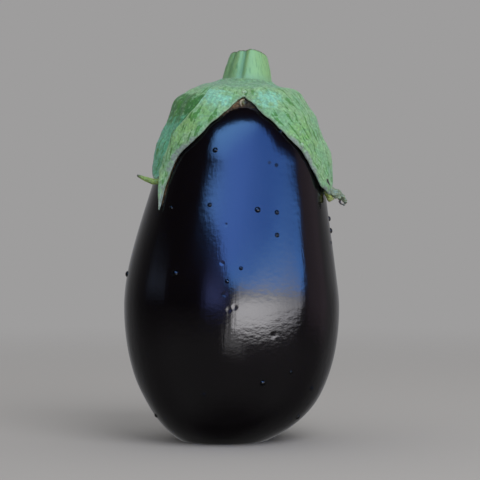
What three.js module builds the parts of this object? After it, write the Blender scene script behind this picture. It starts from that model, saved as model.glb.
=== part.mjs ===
// An eggplant: one berry standing on its blossom end, capped by a green calyx and a short cut stem.
// Millimetres, +Z up. The origin is the centre of the small flat spot that the berry stands on.
// An azimuth is in degrees from the front (-Y), positive towards +X.
import * as THREE from "three";
import { ParametricGeometry } from "three/addons/geometries/ParametricGeometry.js";

// Driving dimensions
const gap = 0.4; // clearance between pieces that touch
const berry = {
  flatRadius: 18,
  bellyRadius: 43.9,
  bellyHeight: 54.7,
  shoulderRadius: 33.6,
  shoulderHeight: 112,
  height: 142.8,
  // the fruit bulges to +X above its foot, then leans further that way over its upper half
  footShift: 3.2,
  footHeight: 20,
  topShift: 4.3,
  leanFrom: 62,
  leanTo: 131,
};
const calyx = {
  crownThickness: 4,
  edgeThickness: 1,
  curlLength: 10, // the last stretch of a lobe, which lifts off the fruit
};
// The calyx's rim, once around: how far each lobe tip, each notch and each bend between them lies
// from the top of the berry, measured along its skin, and how far a tip curls away from the skin
const rim = [
  { azimuth: -132, reach: 39, curl: 0 },
  { azimuth: -105, reach: 49, curl: 0 },
  { azimuth: -76, reach: 60, curl: 6 },
  { azimuth: -63.5, reach: 56, curl: 0 },
  { azimuth: -52, reach: 70, curl: 0 },
  { azimuth: -49.5, reach: 50, curl: 0 },
  { azimuth: 3.8, reach: 20.8, curl: 0 },
  { azimuth: 80, reach: 65, curl: 7 },
  { azimuth: 98, reach: 45, curl: 0 },
  { azimuth: 125, reach: 63, curl: 2 },
  { azimuth: 162, reach: 36, curl: 0 },
  { azimuth: 195, reach: 64, curl: 2 },
];
const stem = {
  centre: 9.2, // across X
  baseRadius: 10.4,
  waistRadius: 9,
  topRadius: 7.8,
  height: 9, // at the middle of its cut
  cutBack: 17, // degrees by which the cut drops towards the back
  cutSide: 3, // degrees by which the cut drops towards +X
  ribs: 5,
  ribDepth: 0.07, // of the radius
};

const degrees = Math.PI / 180;
const { clamp, euclideanModulo, lerp, smoothstep } = THREE.MathUtils;

// The berry's outline in (radius, height), from the rim of its flat spot to its crown
const flatRim = new THREE.Vector2(berry.flatRadius, 0);
const belly = new THREE.Vector2(berry.bellyRadius, berry.bellyHeight);
const shoulder = new THREE.Vector2(berry.shoulderRadius, berry.shoulderHeight);
const crown = new THREE.Vector2(0, berry.height);
const outline = new THREE.CurvePath();
function addCurve(from, firstHandle, secondHandle, to) {
  outline.add(
    new THREE.CubicBezierCurve(from, new THREE.Vector2(...firstHandle), new THREE.Vector2(...secondHandle), to),
  );
}
addCurve(flatRim, [36.8, 9.9], [belly.x, 30.6], belly);
addCurve(belly, [belly.x, 68.4], [36.9, 96.2], shoulder);
addCurve(shoulder, [29.4, 132.5], [21.5, crown.y], crown);
const outlineLength = outline.getLength();

// How far the berry's axis has moved over at a height
function lean(z) {
  const toFoot = 1 - clamp(z / berry.footHeight, 0, 1);
  const foot = berry.footShift * (1 - toFoot ** 2);
  return foot + berry.topShift * smoothstep(z, berry.leanFrom, berry.leanTo);
}

// A point at a height over the skin, at an azimuth and a distance from the crown along the skin
function overSkin(azimuth, reach, height, target) {
  const share = 1 - reach / outlineLength;
  const at = outline.getPoint(share);
  const along = reach > 0 ? outline.getTangent(share) : new THREE.Vector2(-1, 0);
  const radius = at.x + height * along.y;
  return target.set(
    radius * Math.sin(azimuth * degrees) + lean(at.y),
    -radius * Math.cos(azimuth * degrees),
    at.y - height * along.x,
  );
}

// Moves each point of a geometry by a function of its own
function shape(geometry, move) {
  const points = geometry.getAttribute("position");
  const point = new THREE.Vector3();
  for (let i = 0; i < points.count; i++) {
    point.fromBufferAttribute(points, i);
    move(point);
    points.setXYZ(i, point.x, point.y, point.z);
  }
  geometry.computeVertexNormals();
  return geometry;
}

// A solid turned about +Z from a profile of (radius, height) points
function turned(profile, sides) {
  return new THREE.LatheGeometry(profile, sides).rotateX(Math.PI / 2);
}

// The berry, turned about its axis and then leaned over
function makeFruit() {
  const rings = 36;
  const sides = 60;
  const profile = [new THREE.Vector2(0, 0)];
  for (let i = 0; i < rings; i++) {
    profile.push(outline.getPoint(i / rings));
  }
  profile.push(crown);
  return shape(turned(profile, sides), (point) => {
    point.x += lean(point.z);
  });
}

// The rim's reach and curl at an azimuth, straight from each of its points to the next
function rimAt(azimuth) {
  const first = rim[0].azimuth;
  const around = first + euclideanModulo(azimuth - first, 360);
  const next = rim.findIndex((point) => point.azimuth > around);
  const to = next < 0 ? { ...rim[0], azimuth: first + 360 } : rim[next];
  const from = rim.at(next < 0 ? -1 : next - 1);
  const share = (around - from.azimuth) / (to.azimuth - from.azimuth);
  return { reach: lerp(from.reach, to.reach, share), curl: lerp(from.curl, to.curl, share) };
}

// The calyx, a cap of pointed lobes lying on the berry: its inner face from the crown to the rim,
// then its outer face back to the crown
function makeCalyx() {
  const innerSteps = 14;
  const outerSteps = 13;
  const sides = 120;
  const steps = innerSteps + outerSteps;
  const innerShare = innerSteps / steps;
  const cap = (u, v, target) => {
    const { reach, curl } = rimAt(360 * u);
    const inner = v < innerShare;
    const share = inner ? v / innerShare : (1 - v) / (1 - innerShare);
    const lift = curl * smoothstep(share * reach, reach - calyx.curlLength, reach) ** 2;
    const thickness = lerp(calyx.crownThickness, calyx.edgeThickness, share ** 2);
    return overSkin(360 * u, share * reach, gap + lift + (inner ? 0 : thickness), target);
  };
  return new ParametricGeometry(cap, sides, steps);
}

// The stem: a stub with blunt ribs, spreading at its foot, cut off at a slant
function makeStem() {
  const side = new THREE.SplineCurve([
    new THREE.Vector2(stem.baseRadius, 0),
    new THREE.Vector2(stem.waistRadius, stem.height * 0.35),
    new THREE.Vector2(stem.topRadius, stem.height),
  ]);
  const profile = [new THREE.Vector2(0, 0), ...side.getPoints(8), new THREE.Vector2(0, stem.height)];
  const slopeBack = Math.tan(stem.cutBack * degrees);
  const slopeSide = Math.tan(stem.cutSide * degrees);
  return shape(turned(profile, 40), (point) => {
    const rib = 1 + stem.ribDepth * Math.cos(stem.ribs * Math.atan2(point.x, -point.y));
    point.x *= rib;
    point.y *= rib;
    point.z -= (point.z / stem.height) * (point.x * slopeSide + point.y * slopeBack);
  });
}

function mesh(name, geometry, material) {
  const piece = new THREE.Mesh(geometry, material);
  piece.name = name;
  return piece;
}

const skin = new THREE.MeshStandardMaterial({ color: 0x120d16, roughness: 0.18, metalness: 0 });
const leaf = new THREE.MeshStandardMaterial({ color: 0x6f9c78, roughness: 0.8, metalness: 0 });
const stalk = new THREE.MeshStandardMaterial({ color: 0x7da883, roughness: 0.75, metalness: 0 });

const eggplant = new THREE.Group();
eggplant.add(mesh("fruit", makeFruit(), skin));
eggplant.add(mesh("calyx", makeCalyx(), leaf));
const stub = mesh("stem", makeStem(), stalk);
stub.position.set(stem.centre, 0, berry.height + calyx.crownThickness + 2 * gap);
eggplant.add(stub);

export default eggplant;
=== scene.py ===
# %% [markdown]
# # A globe eggplant
# An eggplant is one big berry. Its waxy skin is nearly black, and a green calyx, the fused and pointed
# leaves that once held the flower, still sits on its crown around a short cut stem.
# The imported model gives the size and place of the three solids. This script gives each of them the
# surface of the real one: a fine mesh in the same place, and a material worked out from what it is.

# %% The frame
import math

import bmesh
import bpy
import numpy as np
from mathutils import Matrix, Vector, geometry, kdtree


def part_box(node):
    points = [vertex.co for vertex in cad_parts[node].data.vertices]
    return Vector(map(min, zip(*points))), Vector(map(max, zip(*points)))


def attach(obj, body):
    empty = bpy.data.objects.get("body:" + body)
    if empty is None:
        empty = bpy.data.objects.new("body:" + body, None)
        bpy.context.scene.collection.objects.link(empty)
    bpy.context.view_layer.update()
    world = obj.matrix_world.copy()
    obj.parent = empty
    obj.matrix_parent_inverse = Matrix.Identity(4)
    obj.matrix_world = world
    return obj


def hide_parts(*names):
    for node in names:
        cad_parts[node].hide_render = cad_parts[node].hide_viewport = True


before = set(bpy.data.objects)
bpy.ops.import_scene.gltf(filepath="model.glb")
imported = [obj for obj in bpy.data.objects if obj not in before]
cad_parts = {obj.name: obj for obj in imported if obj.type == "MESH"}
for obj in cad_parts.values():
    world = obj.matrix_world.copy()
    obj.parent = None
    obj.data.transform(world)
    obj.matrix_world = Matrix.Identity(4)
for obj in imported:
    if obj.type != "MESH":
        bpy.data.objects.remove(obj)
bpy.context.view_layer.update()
print("the frame holds", sorted(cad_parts))

# %% [markdown]
# ## Units and small helpers
# Blender works in metres, and a fruit is easier to think of in millimetres. So every shape here is made
# in millimetres, and the last step of each piece shrinks its mesh a thousandfold.
# Numpy moves all the points of a mesh at once, which is much faster than a loop over them.
# One seeded generator makes every random draw, so each run gives the same fruit.

# %% Soft steps and bumps
mm = 0.001
chance = np.random.default_rng(7)


def smooth(x):
    """Rises gently from 0 to 1 as x does."""
    x = np.clip(x, 0, 1)
    return x * x * (3 - 2 * x)


def rises(x, start, width):
    """The same gentle rise, from a start and over a width."""
    return smooth((x - start) / width)


def bell(x, width):
    """A soft bump, 1 where x is 0, that fades over a width."""
    return np.exp(-((x / width) ** 2))


def wrapped(azimuth):
    """The same azimuth in degrees, between -180 and 180."""
    return np.mod(azimuth + 180, 360) - 180


def ripples(points, size, waves=9):
    """Smooth unevenness between about -1 and 1, with swells of about the size given."""
    total = np.zeros(len(points))
    for _ in range(waves):
        direction = chance.normal(size=3)
        direction *= 2 * np.pi / size / np.linalg.norm(direction) * chance.uniform(0.7, 1.4)
        total += np.sin(points @ direction + chance.uniform(0, 2 * np.pi))
    return total / math.sqrt(waves)


print("halfway up a soft step is", float(smooth(0.5)))


# %% Meshes in and out of numpy
def closed_mesh(bm, name):
    """The bmesh as a mesh, with its poles and seam welded and its faces turned outwards."""
    bmesh.ops.remove_doubles(bm, verts=bm.verts, dist=1e-4)
    bmesh.ops.recalc_face_normals(bm, faces=bm.faces)
    mesh = bpy.data.meshes.new(name)
    bm.to_mesh(mesh)
    bm.free()
    mesh.shade_smooth()
    return mesh


def points_of(mesh):
    """The mesh's points as rows of x, y and z."""
    flat = np.empty(len(mesh.vertices) * 3)
    mesh.vertices.foreach_get("co", flat)
    return flat.reshape(-1, 3)


def move_points(mesh, points):
    """Puts the mesh's points where the rows say."""
    mesh.vertices.foreach_set("co", points.ravel())
    mesh.update()


def mark(mesh, name, values):
    """Stores one number per point, which a material can read."""
    mesh.attributes.new(name, "FLOAT", "POINT").data.foreach_set("value", values.astype(np.float32))


def new_object(name, data):
    """An object in the scene, which shows the data given."""
    made = bpy.data.objects.new(name, data)
    bpy.context.scene.collection.objects.link(made)
    return made


def place_piece(mesh, material, slot, *nodes):
    """Makes the finished mesh a piece of the object, in metres, in place of the CAD nodes named."""
    mesh.transform(Matrix.Scale(mm, 4))
    mesh.materials.append(material)
    piece = new_object(mesh.name, mesh)
    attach(piece, "root")
    if nodes:
        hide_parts(*nodes)
    size = [round(side / mm, 1) for side in piece.dimensions]
    print(f"{piece.name}: {len(mesh.polygons)} faces, {size} mm")
    return piece


# %% [markdown]
# ## Materials in general
# A material is a small graph of nodes. One function adds any node to it: its settings are keywords, and
# its sockets are filled in order from a list, or by name from a dictionary. A value may be a number, a
# colour, or another node to link from, so a graph reads like a sum. Most colours here are laid over each
# other, as a painter would, and a second function does that for a list of layers.
# Colours are written as sRGB hex, as a paint program gives them, and turned to the linear values that
# the renderer needs. A noise texture's scale is one over the size of its grain, in metres.


# %% Helpers for materials
def linear(hex_colour):
    """An sRGB hex colour such as 7A9C5B as linear red, green, blue and alpha."""
    parts = [int(hex_colour[i : i + 2], 16) / 255 for i in (0, 2, 4)]
    return [p / 12.92 if p <= 0.04045 else ((p + 0.055) / 1.055) ** 2.4 for p in parts] + [1]


def adder(tree):
    """The function that adds nodes to a tree."""

    def add(kind, sockets=(), **settings):
        """Adds a shader node with its settings, and fills or links its sockets."""
        node = tree.nodes.new("ShaderNode" + kind)
        for name, setting in settings.items():
            setattr(node, name, setting)
        if isinstance(sockets, dict):
            filled = [(node.inputs[name], value) for name, value in sockets.items()]
        else:
            filled = zip([socket for socket in node.inputs if socket.enabled], sockets)
        for socket, value in filled:
            if isinstance(value, bpy.types.Node):
                value = next(output for output in value.outputs if output.enabled)
            if isinstance(value, bpy.types.NodeSocket):
                tree.links.new(value, socket)
            else:
                socket.default_value = linear(value) if isinstance(value, str) else value
        return node

    return add


def new_material(name):
    """An empty node material, and the function that adds nodes to it."""
    material = bpy.data.materials.new(name)
    material.use_nodes = True
    material.node_tree.nodes.clear()
    return material, adder(material.node_tree)


smoothly = {"interpolation_type": "SMOOTHSTEP"}
of_colours = {"data_type": "RGBA"}
times = {"operation": "MULTIPLY"}


def layered(add, colour, layers):
    """A colour under layers: what each follows, where that starts and is full, strength and shade."""
    for source, start, full_at, strength, shade in layers:
        laid_on = add("MapRange", [source, start, full_at, 0, strength], **smoothly)
        colour = add("Mix", [laid_on, colour, shade], **of_colours)
    return colour


print("mid grey, 808080, is", round(linear("808080")[0], 3), "in linear light")

# %% [markdown]
# ## Camera and studio
# The camera stands level with the middle of the fruit, about as far away as a person's arm reaches, and
# a long lens keeps the outline true.
# The floor is a wide pale disc that fades out into a plain pale backdrop, so no horizon shows.

# %% Camera
camera_distance = 650
camera_height = 81.6
camera_side = 6.7
view_width = 196.8  # what the picture takes in, across the fruit
sensor_width = 36

lens = bpy.data.cameras.new("camera")
lens.sensor_width = sensor_width
lens.lens = sensor_width * camera_distance / view_width
camera = new_object("camera", lens)
camera.location = Vector((camera_side, -camera_distance, camera_height)) * mm
camera.rotation_euler = (math.radians(90), 0, 0)
bpy.context.scene.camera = camera
bpy.context.scene.view_settings.view_transform = "Standard"
print("lens", round(lens.lens), "mm")

# %% Floor
backdrop_colour = "9E9D9D"
floor_colour = "BCBAB9"
floor_radius = 2  # in metres, like the distances between which it fades out
fade_start, fade_end = 0.2, 0.9

floor_mesh = bpy.data.meshes.new("floor")
bm = bmesh.new()
bmesh.ops.create_circle(bm, cap_ends=True, segments=96, radius=floor_radius)
bm.to_mesh(floor_mesh)
bm.free()
floor = new_object("floor", floor_mesh)
floor.visible_glossy = False  # the room below gives the skin its own floor to mirror
floor.visible_transmission = False

floor_material, add = new_material("matt_paper")
from_middle = add("VectorMath", [add("TexCoord").outputs["Object"]], operation="LENGTH")
fade = add("MapRange", [from_middle, fade_start, fade_end], **smoothly)
paper = add("BsdfDiffuse", [floor_colour])
clear = add("BsdfTransparent")
add("OutputMaterial", [add("MixShader", [fade, paper, clear])])
floor_mesh.materials.append(floor_material)
print("the floor is", round(floor.dimensions.x, 1), "m across")

# %% [markdown]
# ## Light
# A glossy dark skin shows hardly any colour of its own: what the eye sees on it is the room. So the
# studio is built for its reflections. Blue sky fills a tall window at the front. Its high part ends
# below at slanting eaves, and under them a strip of low sky reaches down to a pale house front with a
# dim step. A far house stands to the left in blue haze. A dim side window, a warm wall at the right and
# a pale wall behind the fruit are faint, and the rest is dark.
# Only mirrored and refracted rays see that room. Matt surfaces get a soft even light and one large soft
# lamp, and the camera sees a plain backdrop.
# The room is drawn as a flat panorama, with the azimuth across and the elevation up, both in degrees
# seen from the fruit. Each bright thing in it is a panel with straight sides and soft edges, and a dot
# product per side tells how far inside it a ray goes.

# %% Panels of the room
sky_panel = [(-42, 18), (-50, 26), (-50, 42), (-38, 49), (-22, 55.5), (2, 59.5)]
sky_panel += [(25, 58.5), (36, 55), (49, 38), (60, 18)]
low_sky_panel = [(0, 12.5), (-17, 24), (-18, 29), (42, 33.5), (86, 14.5), (88.5, 11), (78, 6)]
far_house_panel = [(-28, -1), (-28, 17), (-6, 17), (-6, -1)]
side_panel = [(-102, 5), (-102, 15), (-78, 15), (-78, 5)]
house_panel = [(7, 19), (1, -13), (20, -13.5), (45, -12), (62, -9.5), (78, -3), (82, 2), (80, 9)]
house_panel += [(60, 19)]
step_panel = [(-8, -8), (-8, -22), (12, -22), (12, -8)]
warm_panel = [(88, -8), (88, 40), (124, 40), (124, -8)]


def panel(add, place, corners, softness):
    """How far inside a straight-sided panel a place in the panorama is, from 0 to 1."""
    middle = sum((Vector(corner) for corner in corners), Vector((0, 0))) / len(corners)
    inside = 1.0
    for first, second in zip(corners, corners[1:] + corners[:1]):
        side = Vector(second) - Vector(first)
        inwards = Vector((-side.y, side.x)).normalized()
        inwards *= math.copysign(1, inwards.dot(middle - Vector(first)))
        start = inwards.dot(Vector(first))
        depth = add("VectorMath", [place, inwards.to_3d()], operation="DOT_PRODUCT")
        shown = add("MapRange", [depth, start - softness, start + softness], **smoothly)
        inside = add("Math", [inside, shown], **times)
    return inside


print("the house front spans", house_panel[6][0] - house_panel[1][0], "degrees")

# %% Directions in the room
world = bpy.data.worlds.new("studio")
world.use_nodes = True
world.cycles.sampling_method = "NONE"  # each kind of ray sees its own studio, so none is aimed at it
bpy.context.scene.world = world
world.node_tree.nodes.clear()
add = adder(world.node_tree)
ray = add("SeparateXYZ", [add("TexCoord").outputs["Generated"]]).outputs
towards_front = add("Math", [ray["Y"], -1.0], **times)
bearing = add("Math", [ray["X"], towards_front], operation="ARCTAN2")
azimuth = add("Math", [bearing], operation="DEGREES")
elevation = add("Math", [add("Math", [ray["Z"]], operation="ARCSINE")], operation="DEGREES")
place = add("CombineXYZ", [azimuth, elevation])
print("a direction takes", len(world.node_tree.nodes), "nodes to work out")

# %% Walls and floor of the room
wall_edge = 88  # the azimuth, left and right, from which the wall behind comes in
wall_colour = (0.34, 0.34, 0.35, 1)
dim_panels = [  # corners, softness and colour
    (warm_panel, 7, (0.25, 0.20, 0.23, 1)),
    (side_panel, 5, (0.16, 0.2, 0.29, 1)),
    (far_house_panel, 9, (0.48, 0.62, 1.7, 1)),
]

ground = add("MapRange", [elevation, -20, 4, 0.16, 0.02], **smoothly)
underneath = add("MapRange", [elevation, -80, -45, 0.3, 1], **smoothly)
ground = add("Math", [ground, underneath], **times)
turned_away = add("Math", [azimuth], operation="ABSOLUTE")
dark_corner = add("MapRange", [turned_away, 60, 120, 1, 0.45], **smoothly)
ground = add("Math", [ground, dark_corner], **times)
room = add("CombineColor", [ground, ground, ground])
behind = add("MapRange", [turned_away, wall_edge, 183], **smoothly)
risen = add("MapRange", [elevation, -38, 6, 0.02, 1], **smoothly)
to_wall = add("Math", [behind, risen], **times)
room = add("Mix", [to_wall, room, wall_colour], **of_colours)
for corners, softness, colour in dim_panels:
    room = add("Mix", [panel(add, place, corners, softness), room, colour], **of_colours)
print("the wall behind fills", 2 * (180 - wall_edge), "degrees")

# %% Colours of the sky
slanted = add("Math", [azimuth, -0.4, elevation], operation="MULTIPLY_ADD")
blues = [
    (azimuth, -10, 45, 1, (0.6, 1.75, 6.0, 1)),  # deeper to the right
    (slanted, 26, 58, 1, (1.7, 4.2, 9.6, 1)),  # paler high up
    (elevation, 22, 13, 1, (1.05, 3.0, 8.0, 1)),  # greener at the skyline
]
sky = layered(add, (1.05, 2.5, 8.1, 1), blues)
past_corner = add("MapRange", [azimuth, 48, 82], **smoothly)
well_up = add("MapRange", [elevation, 10, 18, 0.3, 1], **smoothly)
past_corner = add("Math", [past_corner, well_up], **times)
sky = add("Mix", [past_corner, sky, (0.6, 1.75, 5.5, 1)], **of_colours)
from_left = add("Math", [elevation, 0.9, azimuth], operation="MULTIPLY_ADD")
lit = add("MapRange", [from_left, -24, 1, 0.5, 1], **smoothly)
sky = add("VectorMath", {"Vector": sky, "Scale": lit}, operation="SCALE")
print("the sky has", len(blues) + 2, "blues, and dims to the left")

# %% Outline of the sky
eaves_slope = 0.193  # how far the eaves drop per degree to the right
eaves_start, eaves_end = 19.8, 21.2  # the elevations of their soft edge, straight ahead

high_sky = panel(add, place, sky_panel, 4.5)
above_eaves = add("Math", [azimuth, eaves_slope, elevation], operation="MULTIPLY_ADD")
over_eaves = add("MapRange", [above_eaves, eaves_start, eaves_end], **smoothly)
high_sky = add("Math", [high_sky, over_eaves], **times)
low_sky = panel(add, place, low_sky_panel, 2.2)
shown_sky = add("Math", [high_sky, low_sky], operation="MAXIMUM")
room = add("Mix", [shown_sky, room, sky], **of_colours)
print("the sky reaches", max(corner[1] for corner in sky_panel), "degrees up")

# %% House front of the room
house_colour, corner_colour = (8.6, 8.5, 8.8, 1), (2.4, 2.4, 2.7, 1)
corner_start, corner_end = 20, 92  # the azimuths between which the front turns away
house = layered(add, house_colour, [(azimuth, corner_start, corner_end, 1, corner_colour)])
slanted = add("Math", [elevation, -1.2, azimuth], operation="MULTIPLY_ADD")
shaded = add("MapRange", [slanted, -14, 10, 0.7, 1], **smoothly)
house = add("VectorMath", {"Vector": house, "Scale": shaded}, operation="SCALE")
house_front = panel(add, place, house_panel, 6)
roofline = add("MapRange", [elevation, 17, 0], **smoothly)
house_front = add("Math", [house_front, roofline], **times)
step = add("Math", [panel(add, place, step_panel, 5), 0.13], **times)
house_shown = add("Math", [house_front, step], operation="MAXIMUM")
room = add("Mix", [house_shown, room, house], **of_colours)
print("the house turns away over", corner_end - corner_start, "degrees")

# %% Who sees which studio
kind = add("LightPath").outputs
clear_ray = add("Math", [kind["Is Glossy Ray"], kind["Is Transmission Ray"]], operation="MAXIMUM")
even = add("Background", ["FFFFFF", 0.5])
mirrored = add("Background", [room])
plain = add("Background", [backdrop_colour])
shown = add("MixShader", [clear_ray, even, mirrored])
shown = add("MixShader", [kind["Is Camera Ray"], shown, plain])
add("OutputWorld", [shown])
print("the studio has", len(world.node_tree.nodes), "nodes")

# %% Soft lamp
lamp_aim = Vector((0, 0, 0.08))  # the middle of the fruit

lamp = bpy.data.lights.new("soft_lamp", "AREA")
lamp.shape = "DISK"
lamp.size = 0.8
lamp.energy = 5
softbox = new_object("soft_lamp", lamp)
softbox.location = (0.42, -0.75, 0.85)
softbox.rotation_euler = (lamp_aim - softbox.location).to_track_quat("-Z", "Y").to_euler()
softbox.visible_glossy = False
softbox.visible_transmission = False
print("the lamp is", round(softbox.location.length, 2), "m away")

# %% [markdown]
# ## The berry's outline
# A fruit that was never quite round is still easiest to make as a turned shape, then pushed out of true.
# Three Bezier curves draw half the outline, from the small flat spot that the fruit stands on, out to
# the belly, up to the shoulder and over to the crown. Places on the skin are then given by an azimuth
# from the front and by the reach, which is the distance from the crown along the skin, so the calyx can
# be laid on it like a cloth.

# %% Outline
low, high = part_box("fruit")
crown_height = high.z / mm
belly_radius = (high.y - low.y) / 2 / mm
belly_height = 54.7
flat_radius = 18
shoulder = (33.6, 112)
steps_per_curve = 150

sections = [
    [(0, crown_height), (21.5, crown_height), (29.4, 132.5), shoulder],
    [shoulder, (36.9, 96.2), (belly_radius, 68.4), (belly_radius, belly_height)],
    [(belly_radius, belly_height), (belly_radius, 30.6), (36.8, 9.9), (flat_radius, 0)],
]
curve = [Vector(sections[0][0])]
for section in sections:
    knot, handle, next_handle, next_knot = [Vector(point) for point in section]
    curve += geometry.interpolate_bezier(knot, handle, next_handle, next_knot, steps_per_curve)[1:]
curve = np.array(curve)
reaches = np.concatenate([[0], np.cumsum(np.hypot(*np.diff(curve, axis=0).T))])
courses = np.gradient(curve, reaches, axis=0)  # which way the skin runs, going down
courses[0] = 1, 0
print("from crown to flat spot", round(reaches[-1]), "mm along the skin")

# %% Places on the skin
foot_shift = (high.x + low.x) / 2 / mm
foot_height = 20
top_shift = 4.3
lean_from, lean_to = 62, 131


def lean(height):
    """How far the berry's axis has moved towards +X at a height."""
    to_foot = 1 - np.clip(height / foot_height, 0, 1)
    top = top_shift * smooth((height - lean_from) / (lean_to - lean_from))
    return foot_shift * (1 - to_foot**2) + top


def along_outline(reach):
    """Radius, height and course (outwards, upwards) of the outline at a reach."""
    return [np.interp(reach, reaches, row) for row in (*curve.T, *courses.T)]


def over_skin(azimuth, reach, lift):
    """Points at an azimuth in degrees and a reach, lifted off the skin."""
    radius, height, outwards, upwards = along_outline(reach)
    radius_there = radius - lift * upwards
    turn = np.radians(azimuth)
    x = radius_there * np.sin(turn) + lean(height)
    return np.stack([x, -radius_there * np.cos(turn), height + lift * outwards], axis=-1)


print("the axis leans", round(float(lean(crown_height)), 1), "mm to the right at the crown")

# %% [markdown]
# ## The calyx's rim
# The calyx is a cap with pointed lobes. Its rim is given once, as the azimuth and reach of each tip and
# notch and of the bends that follow it around the fruit. A smooth curve runs through the bends and
# stops at the tips and notches, which stay sharp. Two lobes meet in the deep notch at the front, where
# the skin comes nearest to the stem.
# The long thin spike hangs at the front left, and leans over towards its tip.

# %% The bends of the rim
spike_tip, front_notch, right_tip, right_notch = (-51.5, 70), (3, 20.5), (76, 64), (98, 45)
far_tip, back_tip, left_notch = (125, 63), (195, 64), (-61.5, 56.5)
rim = [  # each tip or notch, and the bends from there to the next
    (spike_tip, [(-51.5, 59), (-48, 50), (-40, 45), (-31, 40), (-25, 35), (-15, 30), (-4, 23)]),
    (front_notch, [(10, 25), (16, 30), (26, 35), (34, 40), (51, 50), (64, 60), (71, 63)]),
    (right_tip, [(82, 61), (88, 55), (93, 49)]),
    (right_notch, [(108, 50), (118, 57)]),
    (far_tip, [(131, 56), (145, 47), (162, 36), (176, 44), (188, 54)]),
    (back_tip, [(201, 56), (214, 47), (228, 39), (252, 48), (268, 53), (282, 56), (292, 57)]),
    ((left_notch[0] + 360, left_notch[1]), [(301, 60), (304, 64)]),
]


def smooth_line(points, steps=40):
    """A smooth curve through the points, as closely spaced rows, both ends included."""
    knots = [Vector(point) for point in points]
    slopes = [after - before for before, after in zip(knots[:1] + knots, knots[1:] + knots[-1:])]
    line = [knots[0]]
    for knot, slope, next_knot, next_slope in zip(knots, slopes, knots[1:], slopes[1:]):
        handles = knot + slope / 6, next_knot - next_slope / 6
        line += geometry.interpolate_bezier(knot, *handles, next_knot, steps)[1:]
    return np.array(line)


corners = [corner for corner, _ in rim] + [(spike_tip[0] + 360, spike_tip[1])]
stretches = [[corner, *bends, ahead] for (corner, bends), ahead in zip(rim, corners[1:])]
rim_azimuth, rim_reach = np.concatenate([smooth_line(stretch)[:-1] for stretch in stretches]).T
print("the rim's lowest point is", round(float(rim_reach.max())), "mm from the crown")

# %% Even steps around the rim
spike_lean = 1.0  # degrees
spike_azimuth, spike_reach = -53, 62  # the middle of the spike


def leaned(azimuth, reach):
    """The azimuth on the leaf after the spike's middle has moved to the left."""
    off_spike = wrapped(azimuth - spike_azimuth)
    return azimuth - spike_lean * bell(reach - spike_reach, 5) * bell(off_spike, 8)


def softened(row, width):
    """A closed row of numbers, smoothed over a number of places."""
    offsets = np.arange(-3 * width, 3 * width + 1)
    weights = np.exp(-0.5 * (offsets / width) ** 2)
    return sum(np.roll(row, offset) * weight for offset, weight in zip(offsets, weights)) / weights.sum()


rim_places = 4000
line = over_skin(rim_azimuth, rim_reach, 0)
length = np.concatenate([[0], np.cumsum(np.linalg.norm(np.diff(line, axis=0), axis=1))])
stations = np.linspace(0, length[-1], rim_places, endpoint=False)
rim_azimuth, rim_reach = [np.interp(stations, length, row) for row in (rim_azimuth, rim_reach)]
turn = np.arange(rim_places) * 360 / rim_places
rim_azimuth = softened(rim_azimuth - rim_azimuth[0] - turn, 4) + turn + rim_azimuth[0]
rim_reach = softened(rim_reach, 4)
line = over_skin(rim_azimuth, rim_reach, 0)
rim_reach += 0.3 * ripples(line, 7) + 0.12 * ripples(line, 2)
rim_line = over_skin(leaned(rim_azimuth, rim_reach), rim_reach, 0)
print("the rim is", round(float(length[-1])), "mm long")

# %% Distances from the rim
rim_tree = kdtree.KDTree(rim_places)
for index, point in enumerate(rim_line):
    rim_tree.insert(point, index)
rim_tree.balance()


def to_rim(points):
    """How far each point is from the rim."""
    return np.array([rim_tree.find(point)[2] for point in points])


def rim_at(azimuth):
    """The rim's reach at an azimuth in degrees."""
    return np.interp(azimuth, rim_azimuth, rim_reach, period=360)


print("at the front the rim is", round(float(rim_at(front_notch[0])), 1), "mm from the crown")

# %% [markdown]
# ## The berry
# The outline is spun about its axis with a merged seam, which gives a mesh of even quads with closed
# poles. The points are then leaned over, and long low swells are added, because nothing that grows is
# as even as a turned bowl, and a mirror-like skin shows every swell.


# %% Spinning a section
def spun(section, steps, name):
    """A closed solid from a section of (radius, height) points that starts and ends on the axis."""
    bm = bmesh.new()
    ring = [bm.verts.new((radius, 0, height)) for radius, height in section]
    line = [bm.edges.new(pair) for pair in zip(ring, ring[1:])]
    turn = {"cent": (0, 0, 0), "axis": (0, 0, 1), "angle": 2 * math.pi}
    bmesh.ops.spin(bm, geom=ring + line, steps=steps, use_merge=True, **turn)
    return closed_mesh(bm, name)


def azimuths_of(points):
    """The azimuth of each point about the Z axis, in degrees from the front towards +X."""
    return np.degrees(np.arctan2(points[:, 0], -points[:, 1]))


skin_step = 0.8
skin_steps_around = 352
spots = np.linspace(0, reaches[-1], round(reaches[-1] / skin_step))
profile = list(zip(*along_outline(spots)[:2]))
profile += [(radius, 0) for radius in np.arange(flat_radius - 1, 0, -1)] + [(0, 0)]
skin_mesh = spun(profile, skin_steps_around, "fruit_skin")
print("the turned berry has", len(skin_mesh.vertices), "points")

# %% Swells, and the sunken scar of the flower underneath
scar_depth, scar_radius = 0.6, 3
turned = points_of(skin_mesh)
radius, height = np.hypot(turned[:, 0], turned[:, 1]), turned[:, 2]
azimuth = azimuths_of(turned)
on_flat = height < 1e-3
reach = np.where(on_flat, reaches[-1], np.interp(-height, -curve[:, 1], reaches))
swell = 0.12 * ripples(turned * [1, 1, 0.6], 38) + 0.03 * ripples(turned * [1, 1, 0.5], 12)
points = over_skin(azimuth, reach, swell * smooth(height / 6))
points[on_flat] = turned[on_flat]
points[:, 2] += scar_depth * bell(radius, scar_radius) * on_flat
move_points(skin_mesh, points)
mark(skin_mesh, "scar", bell(radius, 1.5 * scar_radius) * (height < 2))
print("the swells are up to", round(float(np.abs(swell).max()), 2), "mm high")

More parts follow.
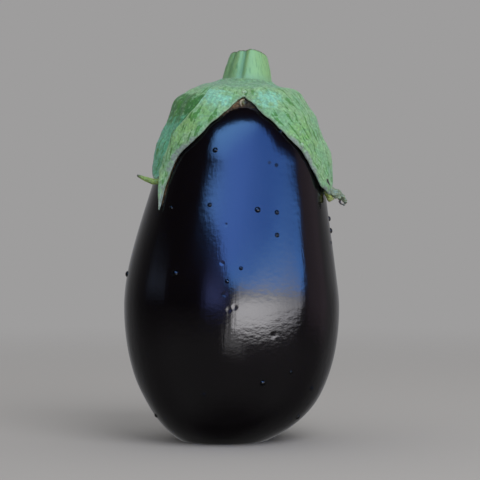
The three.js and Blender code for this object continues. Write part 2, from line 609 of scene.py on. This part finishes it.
# %% Cork in the front notch
# The skin that the young calyx covered turned to cork as the fruit grew out from under it.
arch_middle, arch_half_width, arch_reach = 1, 17, 26.8
from_notch = azimuth - arch_middle
arch = np.where(np.abs(from_notch) < arch_half_width, arch_reach + 0.013 * from_notch**2, 0)
cork_edge = np.maximum(arch, rim_at(azimuth) + 2.1 * bell(from_notch, 24) - 2)
cork_edge += 0.2 * ripples(points, 3)
cork_share = smooth((cork_edge - reach) / 0.9 + 0.5)
mark(skin_mesh, "cork", cork_share)
print(int((cork_share > 0.5).sum()), "points are cork")

# %% [markdown]
# ## The skin
# The skin of a ripe eggplant is a glossy wax over cells full of purple pigment, so dark that it looks
# black. The wax has the refractive index of most plant cuticles, about 1.45 to 1.5. It isn't polished:
# cells a fraction of a millimetre wide give it a faintly hammered look, and fine lines run down from the
# crown where it stretched as it grew. These cells are too fine to show, so they are drawn larger here.
# A few pits a fraction of a millimetre deep are where the skin was knocked. They are finer than the
# mesh, so they are left to the bump. Under the calyx's edge the skin is brown cork, and in the front
# notch the right half of that cork is darkened as a painted shadow.

# %% Colours of the skin
skin_material, add = new_material("waxy_aubergine_skin")
place = add("TexCoord").outputs["Object"]
across, _, up = add("SeparateXYZ", [place]).outputs
cork = add("Attribute", attribute_name="cork").outputs["Fac"]
scar = add("Attribute", attribute_name="scar").outputs["Fac"]
cloud = add("TexNoise", [place, 1 / 0.018, 3])
pigment = add("Mix", [cloud, "060406", "0E090E"], **of_colours)
tall = add("Mapping", {"Vector": place, "Scale": (1, 1, 0.05)})
lines = add("TexNoise", [tall, 1 / 0.0012, 2])
grain = add("TexNoise", [place, 1 / 0.0012, 4])
# Painted shadow: the cork darkens to this colour towards the right of the front notch.
shaded = layered(add, "14100B", [(grain, 0.3, 0.75, 1, "4A4233")])
corky = layered(add, "3A2A1C", [(grain, 0.3, 0.75, 1, "8A7257"), (across, 0.006, 0.0095, 1, shaded)])
dry = add("Math", [cork, scar], operation="MAXIMUM")
skin_colour = add("Mix", [dry, pigment, corky], **of_colours)
rough = add("MapRange", [dry, 0, 1, 0.13, 0.7], **smoothly)
print("the grain of the cork is 1.2 mm wide")

# %% Pits in the skin
pits = [  # azimuth, reach, radius and depth
    (-3, 103, 1.6, 0.08),
    (-1, 109, 1.6, 0.08),
    (2, 108, 1.6, 0.1),
    (22, 119, 1.8, 0.1),
    (-5, 76, 1.2, 0.06),
    (-5, 91, 1.2, 0.08),
    (150, 92, 1.1, 0.15),
    (-140, 117, 1.0, 0.12),
]
dents = 0.0
for pit_azimuth, pit_reach, pit_radius, depth in pits:
    centre = over_skin(pit_azimuth, pit_reach, 0) * mm
    away = add("VectorMath", [place, centre], operation="DISTANCE")
    dent = add("MapRange", [away, 0, pit_radius * mm, -depth, 0], **smoothly)
    dents = add("Math", [dents, dent], operation="ADD")
print(len(pits), "pits")

# %% Lines and hammered cells of the skin
low_left = add("MapRange", [across, 0.008, 0.003], **smoothly)
low_down = add("MapRange", [up, 0.058, 0.044, 0, 0.03], **smoothly)
streaked = add("Math", [low_left, low_down], **times)
line_strength = add("Math", [streaked, 0.035], operation="ADD")
lined = add("Bump", {"Height": lines, "Strength": line_strength, "Distance": mm})
wide = add("Mapping", {"Vector": place, "Rotation": (0, 0.2, 0), "Scale": (1, 1, 1.5)})
cells = add("TexNoise", [wide, 1 / 0.0024, 3])
lower = add("MapRange", [up, 0.07, 0.046, 0.025, 0.1], **smoothly)
to_side = add("MapRange", [across, 0.004, 0.02, 0.7, 1.1], **smoothly)
cell_strength = add("Math", [lower, to_side], **times)
hammered = add("Bump", {"Height": cells, "Strength": cell_strength, "Distance": mm, "Normal": lined})
pitted = add("Bump", {"Height": dents, "Distance": mm, "Normal": hammered})
corked = add("Bump", {"Height": grain, "Strength": dry, "Distance": 0.5 * mm, "Normal": pitted})
shine = add("MapRange", [dry, 0, 1, 0.5, 0.15])
wax_settings = {"Base Color": skin_colour, "Roughness": rough, "IOR": 1.48, "Normal": corked}
wax_settings |= {"Specular IOR Level": shine}
add("OutputMaterial", [add("BsdfPrincipled", wax_settings)])
place_piece(skin_mesh, skin_material, "skin", "fruit")

# %% [markdown]
# ## The calyx
# The cap is spun too: its section goes from the crown along the underside to the rim and back along the
# top, and the shape that comes out is a flat double disc. Each point then knows its place around the
# rim, its share of the way to it and its side, and from these it is laid on the skin. The thickness
# grows from a round edge, by the true distance to the rim, so a thin spike stays thin.

# %% A double disc
outer_rows, inner_rows = 64, 20
rim_columns = 960
section = [(0, -1)]
section += [(1 - (1 - row / inner_rows) ** 1.4, -1) for row in range(1, inner_rows)]
section += [(1, 0)]
section += [(1 - (1 - row / outer_rows) ** 1.6, 1) for row in range(outer_rows - 1, 0, -1)]
section += [(0, 1)]
calyx_mesh = spun(section, rim_columns, "calyx_cap")
print("the double disc has", len(calyx_mesh.vertices), "points")

# %% The disc laid on the crown
disc = points_of(calyx_mesh)
share, side = np.hypot(disc[:, 0], disc[:, 1]), disc[:, 2]
column = np.mod(azimuths_of(disc), 360) / 360 * rim_places
every = np.arange(rim_places + 1)
azimuth = np.interp(column, every, np.append(rim_azimuth, rim_azimuth[0] + 360))
azimuth = wrapped(azimuth)
reach = share * np.interp(column, every, np.append(rim_reach, rim_reach[0]))
azimuth = leaned(azimuth, reach)
laid = over_skin(azimuth, reach, 0)
radius = along_outline(reach)[0]
margin = to_rim(laid)
print("the middle of the widest lobe is", round(float(margin[reach > 30].max())), "mm from its edge")

# %% [markdown]
# The calyx's relief is added as it really runs: a rib down the middle of each lobe, a shallow furrow
# where two lobes join, small wrinkles, and one sharp fold at the front left, where the front lobe laps
# over the one behind it. Each shoulder of the fruit pushes the calyx up into a hump, and the right
# lobe's tip peels away from the skin.

# %% Ribs, furrows and wrinkles
lobes = [  # azimuth and reach of the tip, and the azimuths between which the lobe lies
    (-52, 71, left_notch[0], front_notch[0]),
    (-76, 61, -132, left_notch[0]),
    (-165, 65, -198, -132),
    (125, 64, right_notch[0], 162),
    (80, 67, front_notch[0], right_notch[0]),
]


def around_from(start):
    """Signed distance of each point around the fruit from an azimuth, in millimetres."""
    return wrapped(azimuth - start) * np.radians(radius)


relief = 0.18 * ripples(laid, 9) + 0.12 * ripples(laid, 4) + 0.06 * ripples(laid, 1.8)
lobe_of = np.zeros(len(disc), int)
for index, (tip, _, start, end) in enumerate(lobes):
    inside = np.mod(azimuth - start, 360) < end - start
    lobe_of[inside] = index
    relief += 0.3 * inside * bell(around_from(tip), 2.4) * rises(reach, 16, 12)
    relief -= 0.4 * bell(around_from(start), 2.2) * rises(reach, 12, 10)
print("points per lobe:", np.bincount(lobe_of).tolist())

# %% The fold at the front left
fold_line = [(-38, 12), (-38, 20), (-37, 25), (-42, 31), (-52, 37), (-57, 42), (-61, 50), (-61.5, 57)]
fold_azimuths, fold_reaches = smooth_line(fold_line).T
fold_rise = 1.1
past_fold = around_from(np.interp(reach, fold_reaches, fold_azimuths))
fold_depth = rises(reach, 15, 8)
relief += fold_rise * np.tanh(past_fold / 0.6) * bell(past_fold, 9) * fold_depth
relief -= 0.7 * bell(past_fold + 0.6, 0.9) * fold_depth
lapped = smooth(0.5 - past_fold / 1.2) * rises(azimuth, -140, 25) * rises(reach, 17, 8)
print("the fold steps down by", 2 * fold_rise, "mm")

# %% Humps and hollows over the shoulders
humps = [  # height, azimuth and its width in degrees, reach and its width
    (1.6, -94, 34, 25, 6),
    (0.8, -90, 40, 17, 4),
    (-0.7, -92, 26, 32, 4),
    (1.2, -92, 20, 44, 6),
    (1.1, 82, 26, 20.5, 3.5),
    (-0.9, 70, 40, 13, 4),
    (-0.15, 80, 30, 28, 4),
]
for rise, at_azimuth, azimuth_width, at_reach, reach_width in humps:
    relief += rise * bell(azimuth - at_azimuth, azimuth_width) * bell(reach - at_reach, reach_width)
print(len(humps), "humps and hollows")

# %% A slit and a peeling tip
slit_start, slit_end = 57.5, 60.4
slit_side = around_from(70.5 + 0.8 * (reach - 57.8))
slit = bell(slit_side, 0.5) * rises(reach, slit_start, 1.5) * smooth((slit_end - reach) / 1.5)
relief += 0.5 * bell(around_from(72), 1.6) * rises(reach, 48, 8) - 0.7 * slit
peel = (2.3 * rises(reach, 36, 13) - 0.8 * rises(reach, 52, 10)) * bell(azimuth - 86, 18)
lift_off = 0.25 * (1 + ripples(laid, 16)) * smooth(1 - margin / 5) * rises(reach, 20, 10)
print("the right tip peels up by", round(float(peel.max()), 1), "mm")

# %% Thickness, and a collar around the stem
crown_thickness, leaf_thickness, edge_thickness = 4.0, 2.0, 1.3
edge_rounding = 0.9
under_gap = 0.12
stem_foot = 9.3
stem_radius = 9.7

rounding = np.sqrt(1 - (1 - np.clip(margin / edge_rounding, 0, 1)) ** 2)
full = leaf_thickness + (crown_thickness - leaf_thickness) * smooth((46 - reach) / 24)
growth = (full - edge_thickness) * (1 - np.exp(-np.maximum(margin - 0.4, 0) / 4.5))
from_stem = np.maximum(np.hypot(laid[:, 0] - stem_foot, laid[:, 1]) - stem_radius, 0)
collar = 1.1 * np.exp(-from_stem / 1.0) + 0.12 * np.sin(from_stem * 4) * np.exp(-from_stem / 4)
top = edge_thickness / 2 * (1 + rounding) + growth + relief * smooth(margin / 2.5) + collar
under = edge_thickness / 2 * (1 - rounding)
lift = np.where(share > 0.9999, edge_thickness / 2, np.where(side > 0, top, under))
lift += under_gap + peel + lift_off
move_points(calyx_mesh, over_skin(azimuth, reach, lift))
print("the calyx is up to", round(float(lift.max()), 1), "mm above the skin")

# %% [markdown]
# ## The calyx's surface
# The calyx is leaf tissue under a felt of short star-shaped hairs, which makes it matt and a little
# grey. Its green isn't even: near the stem it is greyer, beside the notch the hairs are rubbed off to a
# bluish bloom, and the sunny middle of each lobe is yellower. The lobe under the fold is partly a deeper
# green of its own and partly darkened as painted shade, and along the fold runs a painted dark shadow
# line.
# The leaf veins show as short dark dashes that run to the tips, but hardly in the felted places and on
# the even right side. Rubbed edges are lilac.
# So the mesh carries a number per point for each of these places, and noise makes their edges ragged.

# %% Where each green is
tips, tip_reaches = np.array(lobes)[lobe_of, :2].T
narrowing = np.clip((tip_reaches + 2 - reach) / (tip_reaches - 21), 0.06, 1)
leaf_across = wrapped(azimuth - tips) / narrowing * math.radians(18) + 100 * lobe_of
beside_fold = bell(past_fold - 5, 4.5) * bell(reach - 37, 9)
on_right = bell(azimuth - 50, 18) * bell(reach - 42, 12)
on_back = bell(azimuth - 190, 40) * bell(reach - 35, 8)
shades = {
    "near_stem": smooth((21 - reach) / 8),
    "bloom": (bell(azimuth + 25, 18) + bell(azimuth - 24, 14)) * bell(reach - 24.5, 4.2),
    "yellow": beside_fold + 0.7 * on_right + on_back,
    # deep and lapped: the lobe under the fold, partly its own deeper green and partly painted shade
    "deep": lapped * bell(reach - 27, 6) * rises(azimuth, -112, 20),
    "lapped": lapped * rises(reach, 27, 8),
    "rubbed": bell(margin, 1.8) * (bell(reach - 48, 8) + rises(reach, 58, 6)),
    # painted shadow: a dark line along the fold, where the front lobe's edge shades the lobe behind it
    "fold": bell(past_fold + 0.3, 0.6) * fold_depth,
    "even": bell(azimuth - 96, 16) * bell(reach - 36, 14),
    "slit_side": slit_side,
    "margin": margin / 10,
    "leaf_across": leaf_across * mm,
    "leaf_along": reach * mm,
}
for name, values in shades.items():
    mark(calyx_mesh, name, values)
print("the calyx carries", ", ".join(shades))

# %% Greens of the calyx
calyx_material, add = new_material("felted_calyx_leaf")
place = add("TexCoord").outputs["Object"]
carried = {name: add("Attribute", attribute_name=name).outputs["Fac"] for name in shades}
blotches = add("TexNoise", [place, 1 / 0.006, 2])
green = layered(add, "81B587", [(blotches, 0.35, 0.65, 1, "90BC8A")])
rags = add("TexNoise", [place, 1 / 0.0024, 3])
ragged = add("MapRange", [rags, 0.35, 0.65, 0.4, 1.5], **smoothly)
for name, full_at, strength, shade in [
    ("near_stem", 0.85, 0.9, "7CA686"),
    ("bloom", 0.8, 0.85, "8ED2BC"),
    ("yellow", 0.85, 0.55, "88BC66"),
    # lapped and deep are partly the lobe's own green and partly painted shade under the front lobe
    ("lapped", 0.4, 0.95, "5FB08C"),
    ("deep", 0.5, 0.95, "35752C"),
    # painted shadow along the fold
    ("fold", 0.85, 0.7, "3A5F3C"),
]:
    spread = add("Math", [carried[name], ragged], **times)
    green = layered(add, green, [(spread, 0.1, full_at, strength, shade)])
print("the blotches are 6 mm and their ragged edges 2.4 mm wide")

# %% Veins of the calyx
leaf = add("CombineXYZ", [carried["leaf_across"], carried["leaf_along"]])
drawn_out = add("Mapping", {"Vector": leaf, "Scale": (1, 0.2, 1)})
dashes = add("TexNoise", [drawn_out, 1 / 0.0012, 2])
crowds = add("TexNoise", [place, 1 / 0.007, 1])
crowded = add("MapRange", [crowds, 0.4, 0.6, 0.565, 0.54], **smoothly)
beyond = add("Math", [dashes, crowded], operation="SUBTRACT")
vein = add("MapRange", [beyond, 0, 0.06, 0, 0.9], **smoothly)
felted = add("Math", [carried["near_stem"], carried["bloom"]], operation="ADD")
felted = add("Math", [felted, carried["even"]], operation="ADD")
bare = add("MapRange", [felted, 0, 0.6, 1, 0.2], **smoothly)
vein = add("Math", [vein, bare], **times)
green = add("Mix", [vein, green, "4B8838"], **of_colours)
print("the veins are 1.2 mm wide")

# %% Flecks, rubbed edges and the slit
flecks = add("TexNoise", [place, 1 / 0.0016, 2])
fleck = add("MapRange", [flecks, 0.58, 0.7, 0, 0.6], **smoothly)
# the pale flecks fade where the lobe under the fold is painted in shade
shadow = add("Math", [carried["lapped"], carried["deep"]], operation="ADD", use_clamp=True)
in_sun = add("MapRange", [shadow, 0, 1, 1, 0.5])
fleck = add("Math", [fleck, in_sun], **times)
green = add("Mix", [fleck, green, "A5CFA6"], **of_colours)
rubbed = add("Math", [carried["rubbed"], ragged], **times)
green = layered(add, green, [(rubbed, 0.1, 0.8, 0.85, "8E999A")])
edge = add("MapRange", [carried["margin"], 0.01, 0.08, 0.35, 0], **smoothly)
green = add("Mix", [edge, green, "A9B7A9"], **of_colours)
from_slit = add("Math", [carried["slit_side"]], operation="ABSOLUTE")
open_slit = add("MapRange", [from_slit, 0.7, 0.3], **smoothly)
for nearer, further in [(slit_start - 0.3, slit_start + 0.3), (slit_end + 0.3, slit_end - 0.3)]:
    within = add("MapRange", [carried["leaf_along"], nearer * mm, further * mm], **smoothly)
    open_slit = add("Math", [open_slit, within], **times)
green = add("Mix", [open_slit, green, "2A1518"], **of_colours)
print("the slit is", round(slit_end - slit_start, 1), "mm long")

# %% Felt of the calyx
felt = add("TexNoise", [place, 1 / 0.001, 3])
speck = add("MapRange", [felt, 0.3, 0.7, 0.76, 1.2], **smoothly)
speckled = add("VectorMath", {"Vector": green, "Scale": speck}, operation="SCALE")
crease = add("MapRange", [carried["near_stem"], 0, 0.4, 0.3, 0.06])
creased = add("Bump", {"Height": dashes, "Strength": crease, "Distance": mm})
fuzzy = add("Bump", {"Height": felt, "Strength": 0.3, "Distance": 0.4 * mm, "Normal": creased})
leaf_settings = {"Base Color": speckled, "Roughness": 0.6, "IOR": 1.4, "Normal": fuzzy}
leaf_settings |= {"Sheen Weight": 0.15, "Sheen Roughness": 0.5}
add("OutputMaterial", [add("BsdfPrincipled", leaf_settings)])
place_piece(calyx_mesh, calyx_material, "calyx", "calyx")

# %% [markdown]
# ## Dried tips
# The tips of the lobes dry first, and curl away from the fruit. The left one became a small yellow-green
# horn, and the right one a crinkled hook with a yellow fold of leaf beside it. Each is a spun spindle
# that is bent along a smooth path, ring by ring, and the drier it is, the more it crinkles.


# %% Bending a spindle
def bent_spindle(name, spots, radii, crinkle, rings=48, steps=24):
    """A closed spindle along a smooth path through the spots, with radii from root to tip."""
    section = [(0, 0)] + [(1, share) for share in np.linspace(0, 1, rings)] + [(0, 1)]
    mesh = spun(section, steps, name)
    points = points_of(mesh)
    along = np.clip(points[:, 2], 0, 1)
    spine = smooth_line(spots)
    shares = np.linspace(0, 1, len(spine))
    centre = np.stack([np.interp(along, shares, row) for row in spine.T], axis=1)
    course = np.stack([np.interp(along, shares, row) for row in np.gradient(spine, axis=0).T], axis=1)
    course /= np.linalg.norm(course, axis=1, keepdims=True)
    sideways = np.cross(course, [0, 1, 0])
    sideways /= np.linalg.norm(sideways, axis=1, keepdims=True)
    upwards = np.cross(course, sideways)
    thickness = np.interp(along, np.linspace(0, 1, len(radii)), radii)[:, None]
    rounded = np.sqrt(np.clip(np.minimum(along, 1 - along) / 0.04, 0.05, 1))[:, None]
    spread = points[:, :1] * sideways + points[:, 1:2] * upwards
    points = centre + spread * thickness * rounded
    points += crinkle * ripples(points, 1.8)[:, None] * spread
    move_points(mesh, points)
    mark(mesh, "to_tip", along)
    print(name, "is", round(float(np.linalg.norm(np.diff(spine, axis=0), axis=1).sum()), 1), "mm long")
    return mesh


# %% Leaf tissue that dries towards its tip
def drying_leaf(name, fresh, dry, dry_from):
    """A material that goes from fresh green to a dry colour along a spindle."""
    material, add = new_material(name)
    place = add("TexCoord").outputs["Object"]
    to_tip = add("Attribute", attribute_name="to_tip").outputs["Fac"]
    grain = add("TexNoise", [place, 1 / 0.0007, 3])
    uneven = add("Math", [grain, 0.4, to_tip], operation="MULTIPLY_ADD")
    colour = layered(add, fresh, [(uneven, dry_from + 0.15, 1.15, 1, dry)])
    speck = add("MapRange", [grain, 0.3, 0.7, 0.6, 1.2], **smoothly)
    colour = add("VectorMath", {"Vector": colour, "Scale": speck}, operation="SCALE")
    bump = add("Bump", {"Height": grain, "Strength": 0.5, "Distance": 0.5 * mm})
    settings = {"Base Color": colour, "Roughness": 0.55, "Normal": bump}
    add("OutputMaterial", [add("BsdfPrincipled", settings)])
    print(name, "dries from", dry_from, "of its length")
    return material


# %% Horn, hook and fold
horn_path = [(-24.8, -15.5, 105.4), (-27.6, -14.9, 105.0), (-31.2, -13.7, 106.1), (-34.8, -12, 107.7)]
horn = bent_spindle("left_horn", horn_path, [0.95, 1.1, 1.2, 1.1, 0.95, 0.7, 0.35], 0.06)
place_piece(horn, drying_leaf("drying_horn", "96B565", "5F5C50", 0.8), "calyx")
hook_path = [(40.6, -9, 102.2), (43.2, -8.6, 101.1), (45.8, -8, 100.2), (47.9, -7.5, 99.0)]
hook_path += [(49.4, -7, 97.4), (49.2, -6.8, 96.1), (48.1, -6.8, 96.2), (47.2, -7, 97.8)]
hook = bent_spindle("right_hook", hook_path, [1.4, 1.9, 1.8, 1.3, 0.7, 0.45, 0.45, 0.35], 0.35)
place_piece(hook, drying_leaf("dried_hook", "8C9C82", "43362F", 0.5), "calyx")
fold_path = [(41.2, -9.5, 101.6), (42.0, -9.2, 100.2), (42.9, -8.9, 98.8), (43.7, -8.6, 97.5)]
fold = bent_spindle("right_fold", fold_path, [0.4, 0.8, 1.2, 1.4, 1.2], 0.2)
place_piece(fold, drying_leaf("yellowed_fold", "93A04E", "949C5C", 0.6), "calyx")

# %% [markdown]
# In the front notch sits a small wart of callus, an olive dome with a pale dry lip on its left side.
# Its right side is darkened as painted shade, like the cork beside it.
# The dome is an icosphere, flattened and tilted to stand on the skin there.


# %% Wart in the notch
def standing(azimuth, reach, lift):
    """A point over the skin, the way outwards there, and the turn of what stands on it."""
    centre = Vector(over_skin(azimuth, reach, lift))
    outward = Vector(over_skin(azimuth, reach, lift + 1)) - centre
    return centre, outward, outward.to_track_quat("Z", "Y").to_matrix().to_4x4()


wart_half_sizes = (1.15, 1.35, 0.9, 1)
wart_centre, wart_outward, wart_turn = standing(1.6, 24, 0.1)
wart_shape = Matrix.Translation(wart_centre) @ wart_turn @ Matrix.Diagonal(wart_half_sizes)
bm = bmesh.new()
bmesh.ops.create_icosphere(bm, subdivisions=4, radius=1, matrix=wart_shape)
wart_mesh = closed_mesh(bm, "notch_wart")
points = points_of(wart_mesh)
move_points(wart_mesh, points + 0.08 * ripples(points, 1.0)[:, None] * np.array(wart_outward))
# Painted shade: the mark rises across the wart to its right, where the material's dark second colour
# lies.
mark(wart_mesh, "to_tip", np.clip(azimuths_of(points - np.array(wart_centre)) / 90 + 0.5, 0, 1))
callus = drying_leaf("olive_callus", "77764A", "2F2B1C", 0.5)
place_piece(wart_mesh, callus, "calyx")
lip_path = [(8.5, -21.6, 137.4), (7.3, -22.7, 136.7), (6.9, -23.6, 135.5), (7.4, -24.3, 134.4)]
wart_lip = bent_spindle("wart_lip", lip_path, [0.2, 0.35, 0.4, 0.35, 0.2], 0.05)
place_piece(wart_lip, drying_leaf("dry_callus_lip", "B4A98E", "9A8E74", 0.6), "calyx")

# %% Water drops on the calyx, with painted highlights
# Two small water drops on the calyx, one above the notch and one on the right lobe, are opaque beads
# whose pale green is a painted highlight. The first isn't seated yet: its reach is past the rim, and it
# floats 2.6 mm off the calyx.
painted_highlight_drops = [(2, 22.5, 1.0), (45, 44, 0.9)]  # azimuth, reach and radius
painted_highlight_lifts = [4.3, 2.2]


def beads(name, drops, lifts, flatness):
    """Flattened beads in one mesh, each a little lower than the lift given for it."""
    bm = bmesh.new()
    for (azimuth, reach, radius), lift in zip(drops, lifts):
        centre, outward, turn = standing(azimuth, reach, lift)
        flatten = Matrix.Diagonal((1, 1, flatness, 1))
        matrix = Matrix.Translation(centre - outward * 0.1 * radius) @ turn @ flatten
        bmesh.ops.create_icosphere(bm, subdivisions=3, radius=radius, matrix=matrix)
    return closed_mesh(bm, name)


painted_highlight_mesh = beads("calyx_painted_highlight_drops", painted_highlight_drops, painted_highlight_lifts, 0.55)
place_piece(painted_highlight_mesh, drying_leaf("painted_drop_highlight", "A9CFA9", "A9CFA9", 0.5), "calyx")

# %% [markdown]
# ## The stem
# The stub is what the knife or shears left of the fruit's stalk: green bark with ribs and grooves that
# run into the calyx, and a slanted cut with a dry brown rim, a ring of fibres and a pale pith.

# %% The stem's outline and grooves
stem_foot_height = 145.8
stem_top_height = 156.8
stem_outline = [(0, 10.8), (0.12, 10.2), (0.26, 9.9), (0.39, 9.6), (0.55, 9.2), (0.71, 8.6)]
stem_outline += [(0.88, 8.15), (1, 7.7)]
grooves = [  # azimuth, depth and width, once around
    (-10, 0.95, 8.5),
    (-46, 0.75, 8),
    (-70, 0.3, 7),
    (-122, 0.4, 9),
    (165, 0.4, 10),
    (118, 0.35, 9),
    (76, 0.2, 7),
]
print("the stem has", len(grooves), "grooves")

# %% The stem's ribs
section = [(0, 0)] + [(1, height) for height in np.linspace(0, 0.985, 36)]
section += [(0.985, 1)] + [(radius, 1) for radius in np.linspace(0.95, 0.05, 24)] + [(0, 1)]
stem_mesh = spun(section, 240, "stem_stub")
disc = points_of(stem_mesh)
radius_share, share = np.hypot(disc[:, 0], disc[:, 1]), disc[:, 2]
azimuth = azimuths_of(disc)
outline_shares, outline_radii = np.array(stem_outline).T
radius = np.interp(share, outline_shares, outline_radii)
in_groove = np.zeros(len(disc))
for groove, depth, width in grooves:
    drift = -4 * (1 - share)
    off_groove = wrapped(azimuth - groove - drift)
    radius -= depth * bell(off_groove, width) * (0.6 + 0.4 * share)
    in_groove += depth * bell(off_groove, width)
turn = np.radians(azimuth)
radius += 0.12 * ripples(np.stack([np.sin(turn) * 9, np.cos(turn) * 9, share * 3], 1), 4)
radius *= radius_share
print("the stem is", round(2 * float(radius.max()), 1), "mm wide at its foot")

# %% The slanted cut
cut_back, cut_side = 17, 3  # how the cut leans, in degrees
x, y = radius * np.sin(turn), -radius * np.cos(turn)
cut_height = stem_top_height - y * math.tan(math.radians(cut_back)) - x * math.tan(math.radians(cut_side))
cut_height -= 0.55 * bell(x + 3.2, 2.5) + 0.4 * bell(x - 5.7, 1.8)
on_cut = share > 0.99
dish = 0.5 * smooth((0.93 - radius_share) / 0.1) - 0.25 * bell(radius_share - 0.62, 0.1)
fibres = 0.08 * ripples(np.stack([x, y, 0 * x], 1), 1.1)
height = stem_foot_height + share * (cut_height - stem_foot_height) + on_cut * (fibres - dish)
move_points(stem_mesh, np.stack([x + stem_foot + 0.95 * share, y, height], axis=1))
stem_marks = {"on_cut": on_cut.astype(float), "from_pith": radius_share}
stem_marks |= {"up_stem": share, "groove": in_groove}
for name, values in stem_marks.items():
    mark(stem_mesh, name, values)
print("the cut is", round(float(np.ptp(height[on_cut])), 1), "mm lower at the back")

# %% Bark of the stem
stem_material, add = new_material("green_stalk_bark")
place = add("TexCoord").outputs["Object"]
carried = {name: add("Attribute", attribute_name=name).outputs["Fac"] for name in stem_marks}
across_stem = add("SeparateXYZ", [place]).outputs["X"]
tall = add("Mapping", {"Vector": place, "Scale": (1, 1, 0.14)})
fibre = add("TexNoise", [tall, 1 / 0.0009, 3])
blotches = add("TexNoise", [place, 1 / 0.003, 2])
greens = [
    # painted light: the bark turns paler towards the stem's right side, as if lit from the right
    (across_stem, 0.002, 0.013, 1, "98C688"),
    (blotches, 0.35, 0.7, 0.6, "90C286"),
    (fibre, 0.5, 0.75, 0.8, "669A66"),
    # darker in the grooves: partly their own darker green, partly painted shade in the hollows
    (carried["groove"], 0.1, 0.9, 0.65, "548055"),
    (carried["up_stem"], 0.3, 0.05, 0.6, "84B089"),  # paler at its foot
    (carried["up_stem"], 0.94, 0.985, 0.7, "566046"),  # brown along the cut
]
bark = layered(add, "7CA976", greens)
print("the fibres of the bark are 0.9 mm wide")

# %% Pith of the stem
stains = add("TexNoise", [place, 1 / 0.0012, 2])
rings = [
    (carried["from_pith"], 0.45, 0.62, 1, "8D9A63"),  # green flesh around the pale pith
    (carried["from_pith"], 0.66, 0.75, 1, "B7B585"),  # the ring of fibres
    (carried["from_pith"], 0.84, 0.95, 1, "5A4A30"),  # the dried rim
    (stains, 0.55, 0.8, 1, "6B5A3C"),
]
cut = layered(add, "C9C39A", rings)
stem_colour = add("Mix", [carried["on_cut"], bark, cut], **of_colours)
bump = add("Bump", {"Height": fibre, "Strength": 0.35, "Distance": 0.6 * mm})
stalk = add("BsdfPrincipled", {"Base Color": stem_colour, "Roughness": 0.5, "Normal": bump})
add("OutputMaterial", [stalk])
place_piece(stem_mesh, stem_material, "stem", "stem")

# %% [markdown]
# ## Water drops
# The fruit was rinsed, and a few drops stayed on it. On wax a small drop stands up as a bead, because
# wax sheds water. Each is a flattened icosphere that is sunk a little into the skin.
# Through a drop the skin looks darker than around it: wax in water mirrors hardly anything, since their
# refractive indices are close. The renderer doesn't know that the skin is wet, so the water is tinted
# dark instead.

# %% Beads of water
skin_drops = [  # azimuth, reach and radius
    (-18, 46, 1.1),
    (31, 38, 0.9),
    (20, 51, 0.5),
    (25, 52, 0.7),
    (13, 70, 1.2),
    (25, 71, 1.0),
    (25, 80, 1.0),
    (-16, 68, 0.9),
    (-43, 69, 0.9),
    (-83, 96, 1.3),
    (-31, 95, 1.5),
    (5, 93, 0.8),
    (-2, 98, 0.9),
    (18, 138, 1.2),
    (-16, 143, 0.6),
    (35, 134, 0.8),
    (57, 142, 0.8),
    (-73, 156, 0.9),
    (62, 156, 1.0),
    (88, 73, 1.1),
    (87, 78, 1.2),
    (79, 83, 0.6),
]
back_drops = 26
for _ in range(back_drops):  # the back, where each drop's place is a guess
    skin_drops.append((chance.uniform(95, 265), chance.uniform(76, 158), chance.uniform(0.5, 1.2)))
drop_mesh = beads("water_drops", skin_drops, [0] * len(skin_drops), 0.75)
print(len(skin_drops), "drops")

# %% Water
water, add = new_material("water_on_wax")
water_settings = {"Base Color": "2A2A2E", "Roughness": 0.0, "IOR": 1.333, "Transmission Weight": 1.0}
add("OutputMaterial", [add("BsdfPrincipled", water_settings)])
place_piece(drop_mesh, water, None)
print("water bends light by an index of 1.333")

# %% The end
print("the eggplant is built")
